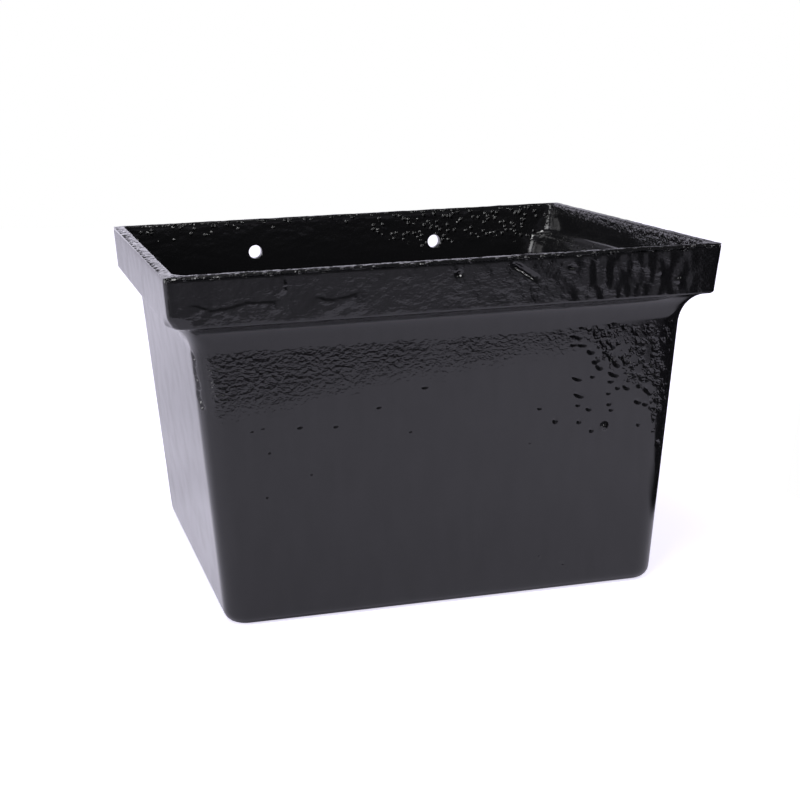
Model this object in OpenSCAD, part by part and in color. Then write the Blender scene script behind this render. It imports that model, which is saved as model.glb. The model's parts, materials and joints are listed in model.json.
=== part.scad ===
// Downpipe hopper head: one rectangular iron casting, painted gloss black.
// Millimetres. It stands on its base with +Z up, and its flat back, on +Y, goes against the wall.

/* [Overall] */
// Width over the rim
rim_w = 254; // [210:1:320]
// Depth over the rim, from the wall to the front
rim_d = 216; // [180:1:280]
// Height from the base to the top of the rim
height = 164; // [130:1:230]

/* [Casting] */
// Thickness of the back, the sides and the front
wall_t = 6; // [4:0.5:8]
// Thickness of the base
base_t = 7; // [5:0.5:10]

/* [Rim] */
// Height of the upright band round the mouth
rim_h = 23; // [18:0.5:32]
// How much the band's sides draw in from the top to the lower edge
rim_draft = 2.3; // [0:0.1:4]
// How much the band's front draws in
rim_front_draft = 0.6; // [0:0.1:4]
// Radius of the band's upright corners
rim_corner_r = 3; // [2.5:0.5:6]
// Radius of the band's lower edge
rim_edge_r = 2; // [1:0.25:4]
// Radius of the two edges of the rim's top face
rim_lip_r = 1.5; // [0.5:0.25:1.75]

/* [Cove] */
// How far the wall steps in under the rim
cove_in = 13; // [10:0.2:18]
// Height of the hollow curve under the rim
cove_h = 14.5; // [8:0.5:24]
// Radius of the inside corner where the rim meets its ledge
ledge_fillet_r = 4; // [2:0.5:6]

/* [Body] */
// Inset of the front and the sides at the base, measured from the rim
base_in = 23.2; // [19:0.2:32]
// Radius of the outside upright corners at the front
body_corner_r = 11; // [8.5:0.5:16]
// Radius of the inside upright corners
inner_corner_r = 6; // [5.5:0.5:12]
// Radius of the outside edge round the base
base_edge_r = 6; // [3:0.5:8]
// Radius of the inside edge round the floor
floor_fillet_r = 5; // [2:0.5:5]
// Radius of the upright edges at the wall
back_edge_r = 1.5; // [0.5:0.25:3]

/* [Fixing holes] */
// Diameter of the holes in the back
fixing_d = 10; // [6:0.5:13]
// Distance between their centres
fixing_spacing = 102; // [60:1:150]
// Depth of their centres below the top of the rim
fixing_drop = 18; // [12:0.5:40]

/* [Outlet] */
// Diameter of the outlet in the base
outlet_d = 68; // [50:1:90]
// Distance of the outlet's centre from the wall
outlet_from_wall = 70; // [60:1:95]

/* [Hidden] */

// Flat steps in a quarter turn
front_steps = 9;
back_steps = 4;
edge_steps = 6;
cove_steps = 12;
bore_fn = 96;
// How far a drill runs past the faces it goes through
drill_over = 2;

y_wall = rim_d / 2;
y_front = -rim_d / 2;
z_rim_low = height - rim_h;
z_cove_low = z_rim_low - cove_h;
z_ledge = z_rim_low + wall_t;
taper = atan((base_in - cove_in) / z_cove_low);
edge_in = rim_draft + rim_edge_r;
edge_front_in = rim_front_draft + rim_edge_r;
paint_black = [0.045, 0.045, 0.05];

// Inset of the tapered wall's outside at height z
function taper_in(z) = base_in - z * tan(taper);

// Inset of the rim's inside at the ledge, which draws in like its outside
function rim_inside_in(draft) = wall_t + draft * (height - z_ledge) / rim_h;

// Angles from one to another, both included
function sweep(from, to, steps) = [for (i = [0:steps]) from + (to - from) * i / steps];

// Without its first entry
function rest(list) = [for (i = [1:len(list) - 1]) list[i]];

// A quarter turn of points round an upright corner
function corner(x, y, z, r, start, steps) =
    [for (a = sweep(start, start + 90, steps)) [x + r * cos(a), y + r * sin(a), z]];

// One level of the casting: the front set in like the sides unless given, the wall side by its own amount
function ring(z, inset, back_inset, front_r, back_r, front_inset = undef) =
    let (
        half_w = rim_w / 2 - inset,
        front = y_front + (is_undef(front_inset) ? inset : front_inset),
        back = y_wall - back_inset
    )
    concat(
        corner(half_w - front_r, front + front_r, z, front_r, -90, front_steps),
        corner(half_w - back_r, back - back_r, z, back_r, 0, back_steps),
        corner(back_r - half_w, back - back_r, z, back_r, 90, back_steps),
        corner(front_r - half_w, front + front_r, z, front_r, 180, front_steps)
    );

// Rounded edge from the base up to the tapered wall
function base_edge() =
    let (
        z0 = base_edge_r,
        in0 = taper_in(z0) + base_edge_r / cos(taper)
    )
    [for (a = sweep(90, taper, edge_steps))
        ring(
            z0 - base_edge_r * sin(a),
            in0 - base_edge_r * cos(a),
            0,
            body_corner_r - base_edge_r * (cos(taper) - cos(a)),
            back_edge_r
        )];

// Hollow curve from the tapered wall out to the underside of the rim
function cove() =
    [for (a = sweep(90, 0, cove_steps))
        ring(
            z_rim_low - cove_h * (1 - cos(a)),
            edge_in + (cove_in - edge_in) * sin(a),
            0,
            rim_corner_r + (body_corner_r - rim_corner_r) * (1 - cos(a)),
            back_edge_r,
            edge_front_in + (cove_in - edge_front_in) * sin(a)
        )];

// Lower edge of the rim, rounded up to the band's face
function rim_edge() =
    [for (a = rest(sweep(90, 0, edge_steps)))
        ring(
            z_rim_low + rim_edge_r * (1 - sin(a)),
            rim_draft + rim_edge_r * (1 - cos(a)),
            0,
            rim_corner_r,
            back_edge_r,
            rim_front_draft + rim_edge_r * (1 - cos(a))
        )];

// Outside edge of the rim's top face
function outer_lip() =
    [for (a = sweep(0, 90, edge_steps))
        let (rolled = rim_lip_r * (1 - cos(a)))
        ring(
            height - rim_lip_r * (1 - sin(a)),
            rolled,
            rolled,
            rim_corner_r - rolled,
            max(back_edge_r - rolled, 0.25)
        )];

// Inside edge of the rim's top face
function inner_lip() =
    [for (a = sweep(90, 0, edge_steps))
        let (rolled = rim_lip_r * (1 - cos(a)))
        ring(
            height - rim_lip_r * (1 - sin(a)),
            wall_t - rolled,
            wall_t - rolled,
            rim_corner_r + rolled,
            rim_corner_r + rolled
        )];

// Inside of the rim, rounded in to its ledge
function ledge_fillet() =
    [for (a = sweep(0, 90, edge_steps))
        ring(
            z_ledge + ledge_fillet_r * (1 - sin(a)),
            rim_inside_in(rim_draft) + ledge_fillet_r * (1 - cos(a)),
            wall_t,
            rim_corner_r,
            rim_corner_r,
            rim_inside_in(rim_front_draft) + ledge_fillet_r * (1 - cos(a))
        )];

// Ledge rolling over into the tapered inside
function ledge_roll() =
    [for (a = rest(sweep(0, 90, cove_steps)))
        let (
            ledge_in = rim_inside_in(rim_draft) + ledge_fillet_r,
            front_in = rim_inside_in(rim_front_draft) + ledge_fillet_r,
            inner_r = rim_corner_r + (inner_corner_r - rim_corner_r) * (1 - cos(a))
        )
        ring(
            z_cove_low + (cove_h + wall_t) * cos(a),
            ledge_in + (wall_t + cove_in - ledge_in) * sin(a),
            wall_t,
            inner_r,
            inner_r,
            front_in + (wall_t + cove_in - front_in) * sin(a)
        )];

// Rounded edge from the tapered inside to the floor
function floor_edge() =
    let (
        z0 = base_t + floor_fillet_r,
        in0 = taper_in(z0) + wall_t + floor_fillet_r / cos(taper)
    )
    [for (a = sweep(taper, 90, edge_steps))
        let (rolled = floor_fillet_r * (cos(taper) - cos(a)))
        ring(
            z0 - floor_fillet_r * sin(a),
            in0 - floor_fillet_r * cos(a),
            wall_t + rolled,
            inner_corner_r - rolled,
            inner_corner_r - rolled
        )];

// Closed solid whose skin runs from ring to ring, with a flat cap on the first and the last
module skin(rings) {
    n = len(rings[0]);
    last = len(rings) - 1;
    walls = [for (i = [0:last - 1], j = [0:n - 1])
        let (
            a = i * n + j,
            b = i * n + (j + 1) % n
        )
        each [[a, a + n, b + n], [a, b + n, b]]];
    first_cap = [for (j = [0:n - 1]) j];
    last_cap = [for (j = [n - 1:-1:0]) last * n + j];
    polyhedron([for (r = rings) each r], concat(walls, [first_cap, last_cap]), convexity = 6);
}

// Outside, up from the base, then over the rim and down the inside to the floor
module cast_shell() {
    skin(concat(
        base_edge(),
        cove(),
        rim_edge(),
        outer_lip(),
        inner_lip(),
        ledge_fillet(),
        ledge_roll(),
        floor_edge()
    ));
}

module fixing_holes() {
    for (side = [-1, 1])
        translate([side * fixing_spacing / 2, y_wall + drill_over, height - fixing_drop])
            rotate([90, 0, 0])
                cylinder(d = fixing_d, h = wall_t + 2 * drill_over, $fn = bore_fn);
}

module outlet() {
    translate([0, y_wall - outlet_from_wall, -drill_over])
        cylinder(d = outlet_d, h = base_t + 2 * drill_over, $fn = bore_fn);
}

module hopper_casting() {
    color(paint_black)
        difference() {
            cast_shell();
            fixing_holes();
            outlet();
        }
}

hopper_casting();
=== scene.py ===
"""Downpipe hopper head: one iron casting with a rough rim, under a thick coat of gloss black paint."""
import json
import math

import bmesh
import bpy
from mathutils import Matrix, Vector, noise


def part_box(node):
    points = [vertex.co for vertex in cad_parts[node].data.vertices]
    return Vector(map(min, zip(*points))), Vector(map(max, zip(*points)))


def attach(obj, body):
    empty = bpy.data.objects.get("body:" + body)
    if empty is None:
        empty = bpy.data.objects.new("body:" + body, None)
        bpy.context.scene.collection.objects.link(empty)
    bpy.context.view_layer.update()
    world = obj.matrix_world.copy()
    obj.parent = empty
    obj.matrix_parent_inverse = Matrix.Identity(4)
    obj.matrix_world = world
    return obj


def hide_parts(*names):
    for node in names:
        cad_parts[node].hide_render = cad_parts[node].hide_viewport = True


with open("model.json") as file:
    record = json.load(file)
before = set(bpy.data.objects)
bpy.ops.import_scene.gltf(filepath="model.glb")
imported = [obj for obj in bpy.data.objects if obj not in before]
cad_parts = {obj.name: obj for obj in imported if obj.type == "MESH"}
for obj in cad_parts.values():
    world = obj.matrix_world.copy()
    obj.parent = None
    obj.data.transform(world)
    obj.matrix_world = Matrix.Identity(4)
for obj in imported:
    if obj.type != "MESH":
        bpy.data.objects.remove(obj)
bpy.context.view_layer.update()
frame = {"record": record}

MM = 0.001

# The casting's outline comes from the frame, its section from the pattern it was cast on.
casting_low, casting_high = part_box("hopper_casting")
RIM_HALF_W = casting_high.x
FRONT_Y = casting_low.y
WALL_Y = casting_high.y
RIM_TOP = casting_high.z
WALL = 6 * MM
BASE = 7 * MM
RIM_H = 23 * MM
RIM_DRAFT = 2.3 * MM
RIM_FRONT_DRAFT = 0.6 * MM
RIM_CORNER_R = 3.2 * MM
RIM_EDGE_R = 1.6 * MM
COVE_IN = 13 * MM
COVE_H = 14.5 * MM
BASE_IN = 23.2 * MM
BODY_CORNER_R = 11 * MM
BASE_EDGE_R = 6 * MM
BACK_EDGE_R = 1.5 * MM
INNER_DRAFT = 0.9 * MM
INNER_CORNER_R = 6 * MM
INNER_RIM_CORNER_R = 3 * MM
INNER_FRONT_CORNER_R = 7 * MM
LEDGE_CORNER_R = 9 * MM
LEDGE_FILLET_R = 4 * MM
FLOOR_FILLET_R = 5 * MM

# The rounded edges of the rim's top: height, turn of the outer one in degrees, and how far each rolls.
LIP_H = 3 * MM
LIP_TURN = 62
LIP_OUT = 2.4 * MM
LIP_OUT_AT_SIDE = 0.6 * MM
LIP_OUT_AT_WALL = 1.2 * MM
LIP_IN = 0.9 * MM
LIP_IN_AT_WALL = 1.6 * MM
LEAST_FRONT_R = 0.5 * MM
LEAST_BACK_R = 0.3 * MM

# At its lower edge the rim leans to the left, and its left front corner is worn.
RIM_LEAN = 1.1 * MM
CORNER_WEAR = 2.2 * MM

RIM_LOW = RIM_TOP - RIM_H
COVE_LOW = RIM_LOW - COVE_H
LEDGE = RIM_LOW + WALL
EDGE_IN = RIM_DRAFT + RIM_EDGE_R
EDGE_FRONT_IN = RIM_FRONT_DRAFT + RIM_EDGE_R
TAPER = math.atan((BASE_IN - COVE_IN) / COVE_LOW)

# The holes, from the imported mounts, and the paint round them.
MOUNTS = {mount["name"]: mount for mount in frame["record"]["mounts"]}
FIXING = MOUNTS["fixing_holes"]
OUTLET = MOUNTS["outlet"]
FIXING_SPREAD = FIXING["dims"]["spacing_x_mm"] * MM / 2
HOLE_LIP_R = 0.7 * MM
HOLE_LIP_TURN = 80
HOLE_PAINT = 1.35 * MM
HOLE_FLAT_R = 8 * MM

# Flat steps in a rounded corner or edge, and the cuts across the long stretches.
FRONT_CORNER_STEPS = 8
BACK_CORNER_STEPS = 3
EDGE_STEPS = 5
COVE_STEPS = 10
HOLE_STEPS = 46
HOLE_LIP_STEPS = 4
FRONT_CUTS = 106
BACK_CUTS = 58
SIDE_CUTS = 48
LOWER_CUTS = 26
UPPER_CUTS = 34
INNER_CUTS = 14
BAND_CUTS = 15
INNER_BAND_CUTS = 6
# Height where the outside's cuts change from the lower to the upper ones.
UPPER_BODY = 84 * MM
# Share of the base and of the floor that lies inside a narrow border.
FLAT_SHARE = 0.975

# Rough skin of the casting under the paint.
RIM_LUMPS = 0.32 * MM
RIM_GRAIN = 0.14 * MM
TOP_DROP = 0.08 * MM

# Laps where the iron ran cold in the rim's front: places across and up, in millimetres. The iron on the
# right of each line, going along it, stands proud.
LAPS = (
    ((-118, 151.7), (-112, 151), (-106, 148.8), (-99, 149.6), (-92, 151.3), (-85, 151), (-76.5, 150.8)),
    ((-75.3, 162), (-75.5, 156), (-76.2, 151.5)),
    ((-65, 152.4), (-59, 150.6), (-54, 150), (-49, 150.8), (-45.2, 152), (-41.5, 154)),
)
LAP_RISE = 0.46
LAP_HALF_WIDTH = 0.75
LAP_REACH = 12
# A scratch sunk into the rim's front: places across and up, half width and depth, in millimetres.
SCRATCH = ((26.4, 160.2), (30.6, 157.8), (37.2, 153.3))
SCRATCH_HALF_WIDTH = 2.0
SCRATCH_DEPTH = 1.2
# Runs of paint down the right of the rim's front: width, length and rise, in millimetres.
RUN_WIDTH = 4.2
RUN_LENGTH = 11
RUN_RISE = 0.5
# Two dents and two nodules on the rim's front: place across and up, radius, rise, in millimetres.
RIM_SPOTS = (
    (1.4, 157.7, 1.9, -1.3), (53.6, 157.5, 1.6, -1.1), (105.4, 148.4, 1.9, 1.2), (96, 153, 2.2, 0.5),
)
# Burrs on the top of the rim: place across and back, radius, rise, in millimetres.
BURRS = (
    (-49.4, 104, 1.5, 1.2), (52.5, 104, 2.0, 1.0), (124, 22, 1.6, 1.2), (-20, 105, 1.2, 0.7),
    (0, 104, 1.4, 0.6), (125, -60, 1.4, 0.8), (-90, 104, 1.2, 0.6), (90, 105, 1.5, 0.6),
)

# Pinholes in the front's paint, three of them inside a larger pit: place across and up, in millimetres.
PINHOLES = (
    (-82.6, 82.1), (-64.3, 70.5), (-84.4, 61.5), (-55.4, 73), (-53.9, 49.9), (-18.2, 85.7), (-90.2, 92.3),
    (-85.3, 93.2),
)
# Marks in the front's paint: place across and up, half length, half width, slope in degrees, rise, in
# millimetres. Most are pits; the two that rise are blisters.
FRONT_MARKS = (
    (-82.9, 82, 1.1, 0.8, 0, -0.35), (-63.9, 69.9, 1.2, 0.9, 0, -0.35), (-84.4, 61.1, 1.3, 1, 0, -0.35),
    (-11.5, 105.8, 1.9, 1.1, 0, -0.45), (-32.8, 98.3, 1.5, 0.9, 10, -0.4),
    (-68.8, 92.3, 1.6, 1.2, 20, -0.47), (-52.6, 91.3, 1.4, 1.2, 0, -0.4), (44.1, 18, 1.3, 1.2, 0, 0.5),
    (74.9, 79.6, 2.3, 2.2, 0, 1.9), (51, 84.8, 1.8, 2, 0, -0.54), (56.4, 13.5, 2.4, 1.2, -10, -0.47),
    (53.2, 50.3, 2.2, 0.7, 0, -0.4), (38.7, 75.4, 1.4, 1, 0, -0.34), (43.2, 91.3, 1.4, 1.2, -20, -0.4),
    (61.2, 104, 3.1, 1.45, -22, -0.54), (62.3, 96, 3.4, 1.6, -25, -0.54), (61.9, 91.3, 1.4, 1.3, 0, -0.4),
    (67.3, 89, 1.9, 1.45, -35, -0.47), (62.7, 83.4, 1.8, 1.6, 0, -0.47), (69, 78.6, 1.8, 1.6, -10, -0.47),
    (77.4, 90.6, 1.4, 1.6, -40, -0.4), (78.4, 87.7, 1.3, 1.3, 0, -0.4), (76.9, 95.7, 1.2, 1.2, 0, -0.4),
    (81.4, 98, 1.4, 1.45, 0, -0.4), (85.7, 97.9, 2.4, 1.45, -40, -0.54),
    (79.2, 104.8, 3.4, 1.75, -25, -0.54), (77.9, 101.4, 1.8, 1.3, 0, -0.4), (92.2, 98.2, 1.7, 1.6, 0, -0.47),
    (96.3, 95.8, 3.1, 1.9, -40, -0.54), (91.7, 90.5, 2.3, 1.6, -25, -0.54),
    (95.5, 89, 1.7, 1.45, -20, -0.47), (99.6, 86.5, 3.1, 1.6, -25, -0.54), (92.4, 79.5, 1.6, 1.2, -20, -0.4),
    (70.3, 111.6, 2.4, 1.75, 20, -0.54), (72, 108.7, 2.4, 1.75, -50, -0.54),
    (67.6, 116.4, 2.3, 1.9, -30, -0.54), (68.8, 104.4, 1.2, 1.3, 0, -0.4), (58.4, 124.3, 1.9, 1, 0, -0.4),
    (61.3, 123.4, 2.2, 1.3, -20, -0.4), (59.1, 120.2, 1.9, 1.2, 10, -0.4),
    (63.3, 119.7, 2.6, 1.3, -5, -0.47), (71.4, 126.6, 2.2, 1.3, -10, -0.4), (78.6, 128.9, 1.4, 1.2, 0, -0.4),
    (77.9, 118.4, 3.1, 1.75, -75, -0.6), (78.2, 113.4, 3.4, 1.75, 80, -0.6),
    (80.2, 109.8, 3.1, 1.75, -50, -0.6), (75.4, 114.8, 2.6, 1.45, -35, -0.54),
    *((x, z, 1, 0.9, 15, -0.3) for x, z in PINHOLES),
)
# Marks down the left front corner: place back and up, then as on the front.
CORNER_MARKS = tuple(
    (-87 + 0.7 * math.sin(5 * i), 127 - 2.1 * i, 2.6 - 0.4 * (i % 3), 1.7, 75 - 20 * (i % 3), -0.8)
    for i in range(12))
ROUGH_CORNER_REAR = -84 * MM
ROUGH_CORNER_LOW = 101 * MM
ROUGH_CORNER_HIGH = 130 * MM
# Pits on the rim's top along its left edge: place across and back, half length, in millimetres.
TOP_PIT_PLACES = (
    (-126.2, 96, 1), (-126.1, 92, 1.3), (-126.3, 84, 1.1), (-126, 78, 1.5), (-126.5, 72, 1.2),
    (-125.9, 61, 2), (-126.6, 56, 1.7), (-125.8, 50, 1.6), (-126.7, 44, 1.6), (-125.7, 38, 1.3),
    (-126.7, 33, 1.5), (-125.7, 27, 1.2), (-126.7, 20, 1.6), (-125.7, 12, 1.2), (-126.7, 4, 1.6),
    (-125.8, -3, 1.3), (-126.6, -8, 1.6), (-125.9, -14, 1.4), (-126.5, -20, 1.7), (-126, -27, 1.4),
    (-126.4, -33, 1.6), (-126.1, -40, 1.4), (-126.2, -46, 1.6), (-126.3, -52, 1.3), (-126.1, -58, 1.5),
    (-126.4, -66, 1.4), (-125.9, -73, 1.2), (-126.5, -80, 1.8), (-125.8, -83, 1.4),
)
# The same pits as marks: narrower across than along the edge, and nearly as deep as half their length.
TOP_PITS = tuple((x, y, 0.75 * half, half, 0, -0.78 * half) for x, y, half in TOP_PIT_PLACES)
TOP_PITS_INNER_X = -121 * MM

# The paint's finishes, whose weights are kept with the mesh.
FINISHES = ("dash", "clump", "rim", "inside", "beads")
# The bands of dash-like pits and of clumped pits on the front: place across, lower end, strength, with
# places in millimetres.
DASH_BAND = (
    (-130, 92, 1.6), (-100, 90, 1.8), (-75, 93, 1.7), (-57, 98, 1.5), (-35, 99, 1.2), (-20, 99, 0.95),
    (0, 100, 0.75), (23, 102, 0.65), (40, 104, 0.55), (56, 106, 0.5), (68, 110, 0.2), (130, 110, 0.1),
)
CLUMP_BAND = (
    (54, 118, 0), (64, 110, 0.3), (74, 102, 0.6), (84, 97, 0.85), (95, 92, 1), (104, 62, 1), (110, 12, 0.9),
    (130, 12, 0.8),
)
DASH_TOP = 127 * MM
DASH_LEAN = 0.022
CLUMP_TOP = 128.5 * MM
PAINT_BLACK = (0.008, 0.008, 0.0088, 1)
# Heights of the relief that is too fine for the mesh.
PEEL_RELIEF = 0.01 * MM
DASH_RELIEF = 0.9 * MM
RIM_RELIEF = 0.24 * MM
INSIDE_RELIEF = 0.16 * MM
CLUMP_DEPTH = 0.62 * MM
BEAD_RISE = 0.9 * MM

# Outline of the white sheet under the object, in metres.
SHEET = (
    (-1.4, 0.4), (0.238, -0.68), (0.238, -0.41), (0.216, -0.36), (0.235, -0.25), (0.235, 0.03), (0.95, 1.25),
    (-0.62, 1.88),
)
SHEET_WHITE = (0.80, 0.775, 0.90, 1)
# Colour of the sheet's glow: it keeps the sheet white to the camera, and it also carries the painted
# reflection that the paint sees.
SHEET_GLOW = (0.96, 0.93, 1.08, 1)
# Colour of the painted shade that the paint's reflections see on the sheet's right, beside the object.
SHEET_PAINTED_SHADE = (0.02, 0.02, 0.02, 1)
STUDIO_TINT = (0.95, 0.92, 1.07, 1)
# Lamps, which aim at the object's foot: name, place and side in metres, power in watts.
LAMPS = (
    ("overhead", (-0.2, 0.3, 1.3), 0.8, 2),
    ("front_lamp", (-0.3, -0.45, 1.0), 0.45, 7.5),
    ("right_lamp", (0.82, -0.22, 0.76), 0.3, 3),
    ("left_lamp", (-1.0, -0.3, 0.41), 0.5, 4),
)

# The photograph's camera: its place in the frame, its aim and its focal length in pixels.
IMAGE_SIDE = 800
FOCAL_PIXELS = 1633
SENSOR_WIDTH = 36
CAMERA_PLACE = Vector((-204.7, -780.2, 257.8)) * MM
CAMERA_YAW = math.radians(14.806)
CAMERA_PITCH = math.radians(12.457)
CAMERA_ROLL = math.radians(-1.571)


def sweep(start, end, steps):
    """Angles in radians from one to another in degrees, both included."""
    return [math.radians(start + (end - start) * i / steps) for i in range(steps + 1)]


def ease(value, start, end):
    """0 at the start, 1 at the end, with soft ends."""
    t = min(max((value - start) / (end - start), 0), 1)
    return t * t * (3 - 2 * t)


def along(table, x):
    """Values of a table at a place across, between the rows on both sides of it."""
    for low, high in zip(table, table[1:]):
        if x <= high[0]:
            t = min(max((x - low[0]) / (high[0] - low[0]), 0), 1)
            return [a + (b - a) * t for a, b in zip(low[1:], high[1:])]
    return table[-1][1:]


def lumps(place, size, seed):
    """Smooth unevenness of a size in millimetres, from -1 to 1."""
    return noise.noise(place / (size * MM) + Vector((seed, 1.7 * seed, -seed)))


def taper_in(z):
    """Inset of the tapered wall's outside at a height."""
    return BASE_IN - z * math.tan(TAPER)


def draft_in(z, draft):
    """Inset of the rim's outside at a height."""
    return draft * (RIM_TOP - z) / RIM_H


def base_edge():
    """Levels from the base round to the tapered wall.

    A level is its height, its inset, its inset at the wall side and its corner radii at the front and at the
    wall side. A sixth value, where there is one, is the inset of the sides.
    """
    middle = taper_in(BASE_EDGE_R) + BASE_EDGE_R / math.cos(TAPER)
    for a in sweep(90, math.degrees(TAPER), EDGE_STEPS):
        rolled = BASE_EDGE_R * (math.cos(TAPER) - math.cos(a))
        yield (BASE_EDGE_R * (1 - math.sin(a)), middle - BASE_EDGE_R * math.cos(a), 0,
               BODY_CORNER_R - rolled, BACK_EDGE_R)
    yield UPPER_BODY, taper_in(UPPER_BODY), 0, BODY_CORNER_R, BACK_EDGE_R


def cove():
    """Levels of the hollow curve up to the underside of the rim."""
    for a in sweep(90, 0, COVE_STEPS):
        drop = 1 - math.cos(a)
        yield (RIM_LOW - COVE_H * drop, EDGE_FRONT_IN + (COVE_IN - EDGE_FRONT_IN) * math.sin(a), 0,
               RIM_CORNER_R + (BODY_CORNER_R - RIM_CORNER_R) * drop, BACK_EDGE_R,
               EDGE_IN + (COVE_IN - EDGE_IN) * math.sin(a))


def rim_edge():
    """Levels of the rim's rounded lower edge, above the cove's last."""
    for a in sweep(90, 0, EDGE_STEPS)[1:]:
        rolled = RIM_EDGE_R * (1 - math.cos(a))
        yield (RIM_LOW + RIM_EDGE_R * (1 - math.sin(a)), RIM_FRONT_DRAFT + rolled, 0,
               RIM_CORNER_R, BACK_EDGE_R, RIM_DRAFT + rolled)


def outer_lip():
    """Levels of the outer edge of the rim's top, going up."""
    for a in sweep(0, LIP_TURN, EDGE_STEPS):
        turn = 1 - math.cos(a)
        z = RIM_TOP - LIP_H * (1 - math.sin(a))
        front_r = max(RIM_CORNER_R - LIP_OUT * turn, LEAST_FRONT_R)
        back_r = max(BACK_EDGE_R - LIP_OUT_AT_WALL * turn, LEAST_BACK_R)
        yield (z, draft_in(z, RIM_FRONT_DRAFT) + LIP_OUT * turn, LIP_OUT_AT_WALL * turn, front_r, back_r,
               draft_in(z, RIM_DRAFT) + LIP_OUT_AT_SIDE * turn)


def inner_lip():
    """Levels of the inner edge of the rim's top, going down."""
    for a in sweep(90, 0, EDGE_STEPS):
        turn = 1 - math.cos(a)
        yield (RIM_TOP - LIP_H * (1 - math.sin(a)), WALL - LIP_IN * turn, WALL - LIP_IN_AT_WALL * turn,
               INNER_FRONT_CORNER_R + LIP_IN * turn, INNER_RIM_CORNER_R + LIP_IN * turn)


def ledge():
    """Levels from the inside of the rim round to its ledge, and over it into the tapered inside."""
    front = WALL + draft_in(LEDGE, RIM_FRONT_DRAFT)
    side = WALL + draft_in(LEDGE, INNER_DRAFT)
    for a in sweep(0, 90, EDGE_STEPS):
        rolled = LEDGE_FILLET_R * (1 - math.cos(a))
        yield (LEDGE + LEDGE_FILLET_R * (1 - math.sin(a)), front + rolled, WALL,
               INNER_FRONT_CORNER_R, LEDGE_CORNER_R, side + rolled)
    for a in sweep(0, 90, COVE_STEPS)[1:]:
        front_r, back_r = [r + (INNER_CORNER_R - r) * (1 - math.cos(a))
                           for r in (INNER_FRONT_CORNER_R, LEDGE_CORNER_R)]
        insets = [start + LEDGE_FILLET_R + (WALL + COVE_IN - start - LEDGE_FILLET_R) * math.sin(a)
                  for start in (front, side)]
        yield COVE_LOW + (COVE_H + WALL) * math.cos(a), insets[0], WALL, front_r, back_r, insets[1]


def floor_edge():
    """Levels from the tapered inside round to the floor."""
    top = BASE + FLOOR_FILLET_R
    middle = taper_in(top) + WALL + FLOOR_FILLET_R / math.cos(TAPER)
    for a in sweep(math.degrees(TAPER), 90, EDGE_STEPS):
        rolled = FLOOR_FILLET_R * (math.cos(TAPER) - math.cos(a))
        r = INNER_CORNER_R - rolled
        yield top - FLOOR_FILLET_R * math.sin(a), middle - FLOOR_FILLET_R * math.cos(a), WALL + rolled, r, r


def edit_mesh(piece):
    return bmesh.from_edit_mesh(piece.data)


def select_edges(piece, wanted):
    """Selects the edges of the mesh in edit mode that a test picks, and nothing else."""
    bpy.ops.mesh.select_mode(type="EDGE")
    bpy.ops.mesh.select_all(action="DESELECT")
    for edge in edit_mesh(piece).edges:
        edge.select_set(wanted(edge))
    bmesh.update_edit_mesh(piece.data)


def refine(piece, wanted):
    """Cuts each face that a test of its middle and its normal picks into four."""
    bpy.ops.mesh.select_mode(type="FACE")
    bpy.ops.mesh.select_all(action="DESELECT")
    for face in edit_mesh(piece).faces:
        face.select_set(wanted(face.calc_center_median(), face.normal))
    bmesh.update_edit_mesh(piece.data)
    bpy.ops.mesh.subdivide(number_cuts=1)


def draw_level(piece, index, level):
    """One level of the casting: a plane at its size, with its corners rounded and its face taken out."""
    z, inset, back_inset, front_r, back_r, *side = level
    half_w = RIM_HALF_W - (side[0] if side else inset)
    front, back = FRONT_Y + inset, WALL_Y - back_inset
    middle = (0, (front + back) / 2, z)
    bpy.ops.mesh.select_mode(type="VERT")
    bpy.ops.mesh.select_all(action="DESELECT")
    bpy.ops.mesh.primitive_plane_add(size=1, location=middle)
    bpy.ops.transform.resize(value=(2 * half_w, back - front, 1), center_override=middle)
    for corner_y, r, steps in ((front, front_r, FRONT_CORNER_STEPS), (back, back_r, BACK_CORNER_STEPS)):
        mesh = edit_mesh(piece)
        number = mesh.verts.layers.int["level"]
        for vert in mesh.verts:
            vert.select_set(vert[number] == 0 and abs(vert.co.y - corner_y) < 0.01 * MM)
        mesh.select_flush_mode()
        bmesh.update_edit_mesh(piece.data)
        bpy.ops.mesh.bevel(offset=r, segments=steps, affect="VERTICES", offset_type="OFFSET")
    mesh = edit_mesh(piece)
    number = mesh.verts.layers.int["level"]
    for vert in mesh.verts:
        vert.select_set(vert[number] == 0)
        if vert.select:
            vert[number] = index
    mesh.select_flush_mode()
    bmesh.update_edit_mesh(piece.data)
    bpy.ops.mesh.delete(type="ONLY_FACE")


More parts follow.
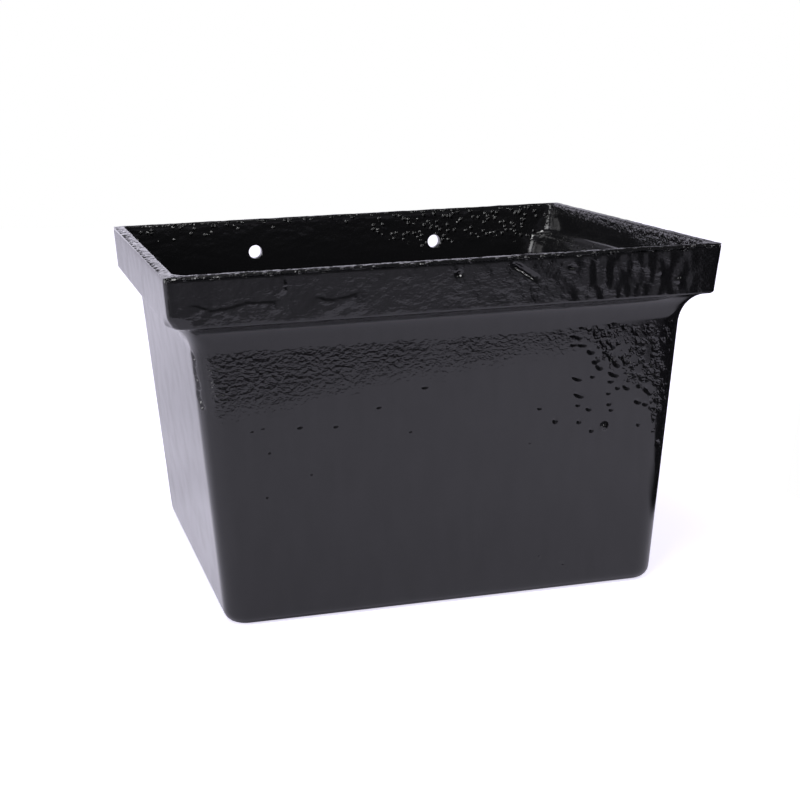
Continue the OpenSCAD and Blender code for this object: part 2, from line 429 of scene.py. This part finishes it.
def cast_shell():
    """The casting as one closed skin: up the outside from the base, over the rim and down to the floor."""
    levels = [*base_edge(), *cove(), *rim_edge(), *outer_lip(), *inner_lip(), *ledge(), *floor_edge()]
    bpy.ops.object.select_all(action="DESELECT")
    bpy.ops.mesh.primitive_plane_add(size=1)
    piece = bpy.context.object
    piece.name = piece.data.name = "painted_casting"
    bpy.ops.object.mode_set(mode="EDIT")
    bpy.ops.mesh.delete(type="VERT")
    edit_mesh(piece).verts.layers.int.new("level")
    for i, level in enumerate(levels):
        draw_level(piece, i + 1, level)
    for i in range(1, len(levels)):
        number = edit_mesh(piece).verts.layers.int["level"]
        pair = (i, i + 1)
        select_edges(piece, lambda e: e.verts[0][number] in pair
                     and e.verts[0][number] == e.verts[1][number])
        bpy.ops.mesh.bridge_edge_loops()
    divide_long_stretches(piece)
    for height in (levels[0][0], levels[-1][0]):
        select_edges(piece, lambda e: e.is_boundary and abs(e.verts[0].co.z - height) < 0.1 * MM)
        bpy.ops.mesh.edge_face_add()
        bpy.ops.mesh.extrude_region_move()
        bpy.ops.transform.resize(value=(FLAT_SHARE, FLAT_SHARE, 1), center_override=(0, 0, height))
    bpy.ops.mesh.select_all(action="SELECT")
    bpy.ops.mesh.normals_make_consistent(inside=False)
    refine_rough_places(piece)
    bpy.ops.object.mode_set(mode="OBJECT")
    return piece


def divide_long_stretches(piece):
    """Cuts the skin's long faces into small ones, so that it can be made uneven."""
    def between(edge, axis, low, high):
        """Whether an edge's length along an axis lies between two lengths in millimetres."""
        return low * MM < abs(edge.verts[0].co[axis] - edge.verts[1].co[axis]) < high * MM

    stretches = (
        (FRONT_CUTS, lambda e: between(e, 0, 100, 300) and e.verts[0].co.y < 0),
        (BACK_CUTS, lambda e: between(e, 0, 100, 300) and e.verts[0].co.y > 0),
        (SIDE_CUTS, lambda e: between(e, 1, 100, 300)),
        (INNER_CUTS, lambda e: between(e, 2, 100, 200)),
        (LOWER_CUTS, lambda e: between(e, 2, 60, 100)),
        (UPPER_CUTS, lambda e: between(e, 2, 30, 60)),
        (BAND_CUTS, lambda e: between(e, 2, 12, 30)),
        (INNER_BAND_CUTS, lambda e: between(e, 2, 8.5, 12)),
    )
    for cuts, wanted in stretches:
        select_edges(piece, wanted)
        bpy.ops.mesh.subdivide(number_cuts=cuts)


def is_outside(place, normal):
    return normal.x * place.x + normal.y * place.y > 0


def on_front(place, normal):
    """On the outside of the front, or of the corners beside it."""
    return is_outside(place, normal) and normal.y < -0.35


def on_rim_front(place):
    return place.y < FRONT_Y + WALL / 2 and place.z > RIM_LOW


def refine_rough_places(piece):
    """Makes the mesh fine where iron or paint is rough. The tests take a face's middle and normal."""
    def near_mark(c, n, reach):
        return on_front(c, n) and any(
            math.hypot(c.x / MM - mark[0], c.z / MM - mark[1]) < mark[2] + reach for mark in FRONT_MARKS)

    def on_rough_corner(c, n):
        beside = n.x < -0.5 and is_outside(c, n) and c.y < ROUGH_CORNER_REAR
        return beside and ROUGH_CORNER_LOW < c.z < ROUGH_CORNER_HIGH

    def near_top_pit(c, n):
        return n.z > 0.5 and c.z > RIM_TOP - LIP_H and c.x < TOP_PITS_INNER_X - MM and any(
            abs(c.y / MM - pit[1]) < pit[3] + 0.8 for pit in TOP_PITS)

    def near_spot(c):
        return any(math.hypot(c.x / MM - spot[0], c.z / MM - spot[1]) < spot[2] for spot in RIM_SPOTS)

    def near_scratch(c):
        return abs(line_offset(c.x / MM, c.z / MM, SCRATCH)[0]) < SCRATCH_HALF_WIDTH + 0.6

    refine(piece, lambda c, n: on_rim_front(c))
    refine(piece, lambda c, n: c.z > RIM_TOP - LIP_H)
    refine(piece, lambda c, n: c.y > WALL_Y - 3 * WALL and n.y < -0.2 and c.z > LEDGE - WALL)
    refine(piece, lambda c, n: near_mark(c, n, 2.5))
    for _ in range(2):
        refine(piece, on_rough_corner)
        refine(piece, near_top_pit)
    refine(piece, lambda c, n: on_rim_front(c) and to_rim_lines(c) < 2.2)
    refine(piece, lambda c, n: near_mark(c, n, 1.2))
    refine(piece, lambda c, n: on_rim_front(c) and (near_scratch(c) or near_spot(c)))


def line_offset(x, z, line):
    """How far a place is to the left of a line, and how far along it from its nearer end, in millimetres."""
    best, left, run, before = 1e9, 0, 0, 0
    for (ax, az), (bx, bz) in zip(line, line[1:]):
        dx, dz = bx - ax, bz - az
        length = math.hypot(dx, dz)
        t = min(max(((x - ax) * dx + (z - az) * dz) / length ** 2, 0), 1)
        off = math.hypot(x - ax - t * dx, z - az - t * dz)
        if off < best:
            best, left = off, math.copysign(off, dx * (z - az) - dz * (x - ax))
            run = before + t * length
        before += length
    return left, min(run, before - run)


def to_rim_lines(place):
    """Distance of a place on the rim's front from the nearest lap or the scratch, in millimetres."""
    return min(abs(line_offset(place.x / MM, place.z / MM, line)[0]) for line in (*LAPS, SCRATCH))


def dome(reach):
    """Height of a rounded mark, 1 in the middle and 0 at its border."""
    return (1 - reach * reach) ** 2 if reach < 1 else 0


def mark_rise(x, z, marks):
    """Rise of the single pits and blisters in the paint, in millimetres."""
    rise = 0
    for mark_x, mark_z, length, width, slope, height in marks:
        if abs(x - mark_x) < length + width and abs(z - mark_z) < length + width:
            a = math.radians(slope)
            u = (x - mark_x) * math.cos(a) + (z - mark_z) * math.sin(a)
            v = (z - mark_z) * math.cos(a) - (x - mark_x) * math.sin(a)
            rise += height * dome(math.hypot(u / length, v / width))
    return rise


def rim_front_rise(place):
    """Rise of the laps, the scratch, the spots and the runs on the rim's front, in millimetres."""
    x, z = place.x / MM, place.z / MM
    rise = 0
    for lap in LAPS:
        left, run = line_offset(x, z, lap)
        left += 0.5 * lumps(place, 1.9, 31)
        proud = ease(left, LAP_HALF_WIDTH, -LAP_HALF_WIDTH) * ease(left, -LAP_REACH, -1)
        rise += LAP_RISE * proud * ease(run, 0, 5) * (0.8 + 0.5 * lumps(place, 3.5, 37))
    left, run = line_offset(x, z, SCRATCH)
    depth = SCRATCH_DEPTH * (0.95 + 0.4 * lumps(place, 2.6, 41)) * ease(run, -0.8, 1.2)
    rise -= depth * dome(abs(left) / SCRATCH_HALF_WIDTH)
    for spot_x, spot_z, radius, height in RIM_SPOTS:
        rise += height * dome(math.hypot(x - spot_x, z - spot_z) / radius)
    runs = ease(x, 45, 65) * ease(x, 118, 104)
    if runs:
        stripe = Vector((x / RUN_WIDTH, 0, z / RUN_LENGTH))
        rise += RUN_RISE * runs * noise.noise(stripe + Vector((7, 3, 1)))
    return rise


def burr_rise(place):
    """Rise of the burrs on the rim's top, in millimetres."""
    x, y = place.x / MM, place.y / MM
    return sum(height * dome(math.hypot(x - bx, y - by) / radius) for bx, by, radius, height in BURRS)


def near_hole(place):
    """Distance of a place on the back from the nearer fixing hole's middle. Other places count as far."""
    if place.y < WALL_Y - 2 * WALL:
        return 1
    return math.hypot(abs(place.x) - FIXING_SPREAD, place.z - FIXING["pos_m"][2])


def top_skin(place):
    """Rise of the rim's top, in metres."""
    rough = 0.2 * lumps(place, 9, 3) + 0.18 * lumps(place, 3.5, 5) + burr_rise(place)
    if place.x < TOP_PITS_INNER_X:
        rough += mark_rise(place.x / MM, place.y / MM, TOP_PITS)
    return rough * MM - TOP_DROP


def rim_skin(place, normal):
    """Rise of the rim's outside, in metres, which never goes past the rim's upper edge."""
    smooth = 1 - 0.7 * ease(-normal.x, 0.5, 0.95)
    rough = -smooth * RIM_LUMPS * (1.2 + 0.5 * lumps(place, 10, 7))
    rough -= smooth * RIM_GRAIN * (0.5 + 0.5 * lumps(place, 3.6, 9))
    room = 0
    if normal.y < -0.6:
        rough += rim_front_rise(place) * MM
        room = draft_in(place.z, RIM_FRONT_DRAFT)
    return min(rough, room)


def body_skin(place, normal):
    """Rise of the outside below the rim, in metres: faint waves, most on the front, and the single marks."""
    facing = max(-normal.y, 0)
    wave = (0.003 + 0.03 * facing) * lumps(place, 30, 11) + 0.006 * facing * lumps(place, 8, 13)
    if on_front(place, normal):
        wave += mark_rise(place.x / MM, place.z / MM, FRONT_MARKS)
    if normal.x < -0.5:
        wave += mark_rise(place.y / MM, place.z / MM, CORNER_MARKS)
    return wave * MM


def inner_skin(place, normal):
    """Rise of the inside, in metres: rough towards the top, and quiet on the right below the lip."""
    upper = ease(place.z, LEDGE - 4 * WALL, RIM_TOP - WALL)
    upper *= ease(near_hole(place), HOLE_FLAT_R, 1.5 * HOLE_FLAT_R)
    upper *= 1 - 0.8 * ease(-normal.x, 0.5, 0.9) * ease(place.z, RIM_TOP - 5 * MM, RIM_TOP - 9 * MM)
    return upper * (0.16 * lumps(place, 6, 17) + 0.14 * lumps(place, 2.6, 19)) * MM


def skin_rise(place, normal):
    """Rise of the uneven skin at a place, in metres along its normal. The base and the back stay flat."""
    if place.z < 0.5 * MM or place.y > WALL_Y - 0.5 * MM or near_hole(place) < HOLE_FLAT_R:
        return 0
    if place.z > RIM_TOP - 0.6 * LIP_H and normal.z > 0.5:
        return top_skin(place)
    if not is_outside(place, normal):
        return inner_skin(place, normal)
    rim = ease(place.z, RIM_LOW - MM, RIM_LOW + RIM_EDGE_R)
    if not rim:
        return body_skin(place, normal)
    return rim * rim_skin(place, normal) - TOP_DROP / 2 * ease(place.z, RIM_TOP - 2 * LIP_H, RIM_TOP)


def lean(place, normal):
    """Shift of the rim's sides, whose lower edge lies further left than their top. The front stays."""
    if place.z < COVE_LOW or not is_outside(place, normal):
        return Vector((0, 0, 0))
    down = (RIM_TOP - place.z) / RIM_H if place.z > RIM_LOW else ease(place.z, COVE_LOW, RIM_LOW)
    return Vector((-RIM_LEAN * down * ease(abs(place.x), 90 * MM, 112 * MM), 0, 0))


def worn_corner(place):
    """Shift inwards of the lower end of the rim's left front corner, which is rounder than the right one."""
    near = ease(math.hypot(place.x - casting_low.x, place.y - casting_low.y), 15 * MM, 3 * MM)
    low = ease(place.z, RIM_LOW + 8 * MM, RIM_LOW) * ease(place.z, COVE_LOW + 4 * MM, RIM_LOW - 2 * MM)
    return Vector((1, 1, 0)) * CORNER_WEAR * near * low * low


def roughen(piece):
    """Gives the smooth skin the unevenness of the iron and the paint, inside the casting's box."""
    moved = [vert.co + lean(vert.co, vert.normal) + worn_corner(vert.co)
             + vert.normal * skin_rise(vert.co, vert.normal) for vert in piece.data.vertices]
    for vert, place in zip(piece.data.vertices, moved):
        vert.co = [min(max(v, low), high) for v, low, high in zip(place, casting_low, casting_high)]


def drill(piece, place, axis, radius, depth):
    """Takes a round hole out of a piece, with the paint rounded over both its edges."""
    bpy.ops.object.select_all(action="DESELECT")
    waist = depth / 2 - HOLE_LIP_R
    bpy.ops.mesh.primitive_cylinder_add(vertices=HOLE_STEPS, radius=radius, depth=2 * waist)
    cutter = bpy.context.object
    bpy.ops.object.mode_set(mode="EDIT")
    for end in (-1, 1):
        bpy.ops.mesh.select_mode(type="FACE")
        bpy.ops.mesh.select_all(action="DESELECT")
        for face in edit_mesh(cutter).faces:
            face.select_set(face.normal.z * end > 0.9)
        bmesh.update_edit_mesh(cutter.data)
        turns = sweep(0, HOLE_LIP_TURN, HOLE_LIP_STEPS)
        rolled = radius
        for before, a in zip(turns, turns[1:]):
            rise = HOLE_LIP_R * (math.sin(a) - math.sin(before))
            wider = radius + HOLE_LIP_R * (1 - math.cos(a))
            bpy.ops.mesh.extrude_region_move(TRANSFORM_OT_translate={"value": (0, 0, end * rise)})
            bpy.ops.transform.resize(value=(wider / rolled, wider / rolled, 1), center_override=(0, 0, 0))
            rolled = wider
        bpy.ops.mesh.extrude_region_move(TRANSFORM_OT_translate={"value": (0, 0, end * WALL)})
    bpy.ops.mesh.select_all(action="SELECT")
    bpy.ops.mesh.normals_make_consistent(inside=False)
    bpy.ops.object.mode_set(mode="OBJECT")
    turn = Vector((0, 0, 1)).rotation_difference(axis).to_matrix().to_4x4()
    cutter.matrix_world = Matrix.Translation(place) @ turn
    bpy.context.view_layer.objects.active = piece
    cut = piece.modifiers.new("hole", "BOOLEAN")
    cut.operation = "DIFFERENCE"
    cut.object = cutter
    bpy.ops.object.modifier_apply(modifier=cut.name)
    bpy.data.objects.remove(cutter)


def drill_holes(piece):
    """The two fixing holes and the outlet, with the slivers closed that the cutting leaves."""
    radius = FIXING["dims"]["hole_r_mm"] * MM - HOLE_PAINT
    for side in (-1, 1):
        place = Vector(FIXING["pos_m"]) + Vector((side * FIXING_SPREAD, -WALL / 2, 0))
        drill(piece, place, Vector(FIXING["axis"]), radius, WALL)
    drill(piece, Vector(OUTLET["pos_m"]), Vector(OUTLET["axis"]), OUTLET["dims"]["r_mm"] * MM, BASE)
    bpy.ops.object.mode_set(mode="EDIT")
    bpy.ops.mesh.select_all(action="SELECT")
    bpy.ops.mesh.fill_holes(sides=6)
    bpy.ops.object.mode_set(mode="OBJECT")


def top_finish(place):
    """The rim's top: grainy, more so along the right, and with beads."""
    return {"rim": 1 + 1.6 * ease(place.x / MM, 112, 117), "beads": 0.75}


def outside_finish(place, normal):
    """The outside: grain on the rim, and the bands of dashes and clumps on the front and its corners."""
    x, z = place.x / MM, place.z / MM
    quiet = max(ease(-normal.x, 0.5, 0.95), ease(normal.y, 0.5, 0.95))
    finish = {"rim": ease(place.z, RIM_LOW - 0.5 * MM, RIM_LOW + 1.5 * MM) * (1 - 0.75 * quiet)}
    if place.y < FRONT_Y + 2 * BASE_IN:
        low, strength = along(DASH_BAND, x)
        patch = max(0.85 + 0.6 * lumps(place, 14, 21), 0)
        front = 1 - 0.95 * ease(-normal.x, 0.2, 0.6)
        top = DASH_TOP / MM + 0.5 + 1.5 * lumps(place, 9, 27)
        finish["dash"] = strength * ease(z, low, low + 24) * ease(z, top + 1, top - 1.5) * patch * front
        low, strength = along(CLUMP_BAND, x)
        lower_end = ease(z, low, low + 10 + 45 * ease(x, 101, 107))
        rear_end = ease(place.y / MM, -62, -86)
        finish["clump"] = strength * lower_end * rear_end * (place.z < CLUMP_TOP)
    return finish


def inside_finish(place, normal):
    """The inside: grain and beads towards the top, but a smooth band on the right below a rough edge."""
    x, z = place.x / MM, place.z / MM
    right = ease(-normal.x, 0.5, 0.9)
    # The rough edge reaches lower towards the front, and the beads on the back reach lowest at the right.
    edge = 158 - 5 * ease(place.y / MM, 10, -60)
    low = 152 + 6 * ease(x, -75, -50) - 16 * ease(x, -10, 40)
    quiet = right * ease(z, edge + 2, edge - 1)
    return {
        "inside": ease(z, 100, 150) * (1 - 0.85 * quiet) * (1 + 2 * right * (1 - quiet)),
        "rim": 2.6 * right * ease(z, edge, edge + 2),
        "beads": (0.6 + 0.25 * ease(x, 0, 40)) * ease(z, low, low + 6) * (1 - quiet),
    }


def finish_at(place, normal):
    """How much shows at a place of each of the paint's finishes that can show there."""
    if normal.z > 0.3 and place.z > RIM_TOP - 2 * LIP_H:
        return top_finish(place)
    if is_outside(place, normal):
        return outside_finish(place, normal)
    return inside_finish(place, normal) if place.z > BASE + MM else {}


def weigh_finishes(piece):
    """Keeps the finishes' weights with the mesh, for the paint."""
    finishes = [finish_at(vert.co, vert.normal) for vert in piece.data.vertices]
    for name in FINISHES:
        layer = piece.data.attributes.new(name, "FLOAT", "POINT")
        layer.data.foreach_set("value", [finish.get(name, 0) for finish in finishes])


def put(tree, kind, **sockets):
    """A new node, its sockets set or linked by their names, or by their numbers after an underscore."""
    new = tree.nodes.new(kind)
    for name, value in sockets.items():
        socket = new.inputs[int(name[1:])] if name[0] == "_" else new.inputs[name.replace("_", " ")]
        if isinstance(value, bpy.types.NodeSocket):
            tree.links.new(value, socket)
        else:
            socket.default_value = value
    return new


def maths(tree, operation, a, b):
    new = put(tree, "ShaderNodeMath", _0=a, _1=b)
    new.operation = operation
    return new.outputs[0]


def vector_maths(tree, operation, a, b=(0, 0, 0)):
    new = put(tree, "ShaderNodeVectorMath", _0=a, _1=b)
    new.operation = operation
    return new.outputs["Value" if operation in ("LENGTH", "DOT_PRODUCT") else "Vector"]


def grain(tree, coords, size, seed, detail=2.0, turn=0):
    """Smooth noise whose grains have a size in millimetres across, back and up."""
    mapping = put(tree, "ShaderNodeMapping", Vector=coords, Location=(seed, seed * 0.7, -seed),
                  Rotation=(0, math.radians(turn), 0), Scale=[1000 / s for s in size])
    pattern = put(tree, "ShaderNodeTexNoise", Vector=mapping.outputs[0], Scale=1.0, Detail=detail)
    return pattern.outputs["Fac"]


def step(tree, value, low, high, start, end):
    """A value turned from one range into another, with soft ends."""
    new = put(tree, "ShaderNodeMapRange", Value=value, From_Min=low, From_Max=high, To_Min=start, To_Max=end)
    new.interpolation_type = "SMOOTHSTEP"
    return new.outputs["Result"]


def beads(tree, coords, size, share, reach):
    """Small round beads or pits of paint, on a share of the cells of a size in millimetres."""
    cells = put(tree, "ShaderNodeTexVoronoi", Vector=coords, Scale=1000 / size)
    chosen = put(tree, "ShaderNodeSeparateColor", Color=cells.outputs["Color"])
    present = maths(tree, "LESS_THAN", chosen.outputs[0], share)
    return maths(tree, "MULTIPLY", step(tree, cells.outputs["Distance"], 0.05, reach, 1, 0), present)


def uneven(tree, coords):
    """Places moved a little to and fro, so that round marks get uneven borders."""
    moves = put(tree, "ShaderNodeTexNoise", Vector=coords, Scale=420, Detail=2.0).outputs["Color"]
    moves = vector_maths(tree, "SUBTRACT", moves, Vector((0.5, 0.5, 0.5)))
    moves = vector_maths(tree, "MULTIPLY", moves, Vector((4, 4, 4)) * MM)
    return vector_maths(tree, "ADD", coords, moves)


def gloss_black_paint():
    """Black paint with a faint peel all over, and relief where the finishes' weights say."""
    material = bpy.data.materials.new("gloss_black_paint")
    material.use_nodes = True
    tree = material.node_tree
    shader = tree.nodes["Principled BSDF"]
    coords = put(tree, "ShaderNodeTexCoord").outputs["Object"]
    weight = {}
    for name in FINISHES:
        reader = put(tree, "ShaderNodeAttribute")
        reader.attribute_name = name
        weight[name] = reader.outputs["Fac"]
    height = maths(tree, "MULTIPLY", grain(tree, coords, (4, 3, 9), 17), PEEL_RELIEF)
    grains = (
        ("dash", grain(tree, coords, (2.3, 2.3, 1.7), 3, turn=-8), DASH_RELIEF),
        ("rim", grain(tree, coords, (3.6, 3.6, 2.3), 9, 3.0), RIM_RELIEF),
        ("inside", grain(tree, coords, (2.4, 2.4, 2.0), 13, 3.0), INSIDE_RELIEF),
    )
    for name, pattern, relief in grains:
        level = maths(tree, "MULTIPLY", maths(tree, "SUBTRACT", pattern, 0.5), relief)
        height = maths(tree, "ADD", height, maths(tree, "MULTIPLY", level, weight[name]))
    below = maths(tree, "SUBTRACT", DASH_TOP, put(tree, "ShaderNodeSeparateXYZ", Vector=coords).outputs["Z"])
    slant = maths(tree, "MULTIPLY", maths(tree, "MULTIPLY", below, DASH_LEAN), weight["dash"])
    height = maths(tree, "ADD", height, slant)
    clumps = beads(tree, uneven(tree, coords), 3.3, weight["clump"], 0.64)
    height = maths(tree, "SUBTRACT", height, maths(tree, "MULTIPLY", clumps, CLUMP_DEPTH))
    nodules = beads(tree, coords, 2.9, weight["beads"], 0.45)
    height = maths(tree, "ADD", height, maths(tree, "MULTIPLY", nodules, BEAD_RISE))
    bump = put(tree, "ShaderNodeBump", Strength=1.0, Distance=1.0, Height=height)
    tree.links.new(bump.outputs[0], shader.inputs["Normal"])
    shader.inputs["Base Color"].default_value = PAINT_BLACK
    sheen = step(tree, grain(tree, coords, (14, 14, 14), 23), 0.3, 0.7, 0.09, 0.15)
    tree.links.new(sheen, shader.inputs["Roughness"])
    streaks = grain(tree, coords, (5, 5, 26), 19, 3.0)
    tree.links.new(step(tree, streaks, 0.25, 0.75, 0.485, 0.515), shader.inputs["Specular IOR Level"])
    return material


def white_sheet():
    """The sheet: white to the camera. In the paint's reflections it carries a painted reflection of light
    and shade, and a patch of painted shade on its right beside the object.
    """
    material = bpy.data.materials.new("white_sheet")
    material.use_nodes = True
    tree = material.node_tree
    tree.nodes.clear()
    path = put(tree, "ShaderNodeLightPath").outputs
    place = put(tree, "ShaderNodeTexCoord").outputs["Object"]
    axes = put(tree, "ShaderNodeSeparateXYZ", Vector=place).outputs
    seen = maths(tree, "MAXIMUM", path["Is Camera Ray"], path["Is Transmission Ray"])
    away = vector_maths(tree, "LENGTH", place)
    seen = maths(tree, "MULTIPLY", seen, step(tree, away, 0.3, 1.0, 0.8, 1.05))
    # Painted reflection: a glow on the sheet that only the paint's reflections see. It is faint in front on
    # the left, as painted shade, and stronger to the right and behind the object, as painted light.
    behind = maths(tree, "ADD", step(tree, axes["Y"], -0.12, 0.02, 0.06, 0.36),
                   step(tree, axes["Y"], 0.06, 0.22, 0, -0.15))
    behind = maths(tree, "ADD", behind, step(tree, axes["Y"], 0.3, 0.8, 0, 0.33))
    behind = maths(tree, "MULTIPLY", behind, step(tree, axes["X"], -0.05, 0.1, 1, 0.25))
    pale = maths(tree, "ADD", behind, step(tree, axes["X"], -0.12, 0.22, 0, 0.36))
    painted_reflection = maths(tree, "MULTIPLY", path["Is Glossy Ray"], pale)
    glow = put(tree, "ShaderNodeEmission", Color=SHEET_GLOW,
               Strength=maths(tree, "MAXIMUM", seen, painted_reflection))
    lit = put(tree, "ShaderNodeBsdfDiffuse", Color=SHEET_WHITE)
    both = put(tree, "ShaderNodeAddShader", _0=lit.outputs[0], _1=glow.outputs[0])
    # Painted shade: beside the object on the right, the sheet turns dark in the paint's reflections only, so
    # that the rim's right end reflects dark.
    beside = maths(tree, "MULTIPLY", step(tree, axes["X"], 0.165, 0.195, 0, 1),
                   step(tree, axes["Y"], -0.2, -0.08, 0, 1))
    painted_shade_share = maths(tree, "MULTIPLY", path["Is Glossy Ray"], beside)
    dark = put(tree, "ShaderNodeBsdfDiffuse", Color=SHEET_PAINTED_SHADE)
    sheet = put(tree, "ShaderNodeMixShader", _0=painted_shade_share, _1=both.outputs[0], _2=dark.outputs[0])
    put(tree, "ShaderNodeOutputMaterial", Surface=sheet.outputs[0])
    return material


def pale_floor():
    mesh = bpy.data.meshes.new("pale_floor")
    mesh.from_pydata([(x, y, 0) for x, y in SHEET], [], [range(len(SHEET))])
    floor = bpy.data.objects.new("pale_floor", mesh)
    bpy.context.scene.collection.objects.link(floor)
    floor.data.materials.append(white_sheet())


def studio_world():
    """A pale studio: bright behind the object and on its left, dim in front of it and dark on its right."""
    world = bpy.data.worlds.new("studio")
    bpy.context.scene.world = world
    world.use_nodes = True
    tree = world.node_tree
    tree.nodes.clear()
    way = put(tree, "ShaderNodeTexCoord").outputs["Generated"]
    axes = put(tree, "ShaderNodeSeparateXYZ", Vector=way).outputs
    back = vector_maths(tree, "DOT_PRODUCT", way, Vector((-0.8, 0.6, 0)))
    backdrop = step(tree, back, 0.02, 0.5, 0, 1.2)
    dim_front = maths(tree, "MULTIPLY", step(tree, axes["X"], 0.05, 0.25, 0.27, 0.42),
                      step(tree, axes["X"], 0.3, 0.43, 1, 0.05))
    dim_front = maths(tree, "MULTIPLY", dim_front, step(tree, axes["Z"], -0.1, 0.15, 1, 0.5))
    around = maths(tree, "MAXIMUM", backdrop, dim_front)
    light = maths(tree, "MULTIPLY", around, step(tree, axes["Z"], 0.13, 0.32, 1, 0.1))
    studio = put(tree, "ShaderNodeBackground", Color=STUDIO_TINT, Strength=light)
    white = put(tree, "ShaderNodeBackground", Color=(1, 1, 1, 1))
    path = put(tree, "ShaderNodeLightPath").outputs
    seen = maths(tree, "MAXIMUM", path["Is Camera Ray"], path["Is Transmission Ray"])
    mix = put(tree, "ShaderNodeMixShader", _0=seen, _1=studio.outputs[0], _2=white.outputs[0])
    put(tree, "ShaderNodeOutputWorld", Surface=mix.outputs[0])


def soft_light(name, place, size, power):
    light = bpy.data.lights.new(name, "AREA")
    light.size = size
    light.energy = power
    lamp = bpy.data.objects.new(name, light)
    aim = Vector(place).to_track_quat("Z", "Y").to_matrix().to_4x4()
    lamp.matrix_world = Matrix.Translation(place) @ aim
    bpy.context.scene.collection.objects.link(lamp)


def photo_camera():
    data = bpy.data.cameras.new("photo_camera")
    data.sensor_width = SENSOR_WIDTH
    data.lens = FOCAL_PIXELS * SENSOR_WIDTH / IMAGE_SIDE
    camera = bpy.data.objects.new("photo_camera", data)
    aim = Matrix.Rotation(-CAMERA_YAW, 4, "Z") @ Matrix.Rotation(math.pi / 2 - CAMERA_PITCH, 4, "X")
    camera.matrix_world = Matrix.Translation(CAMERA_PLACE) @ aim @ Matrix.Rotation(CAMERA_ROLL, 4, "Z")
    bpy.context.scene.collection.objects.link(camera)
    bpy.context.scene.camera = camera


casting = cast_shell()
drill_holes(casting)
roughen(casting)
weigh_finishes(casting)
bpy.ops.object.select_all(action="DESELECT")
bpy.context.view_layer.objects.active = casting
casting.select_set(True)
bpy.ops.object.shade_smooth_by_angle(angle=math.radians(60))
casting.data.materials.append(gloss_black_paint())
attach(casting, "root")
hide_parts("hopper_casting")

pale_floor()
studio_world()
for lamp in LAMPS:
    soft_light(*lamp)
photo_camera()
bpy.context.scene.view_settings.view_transform = "Standard"
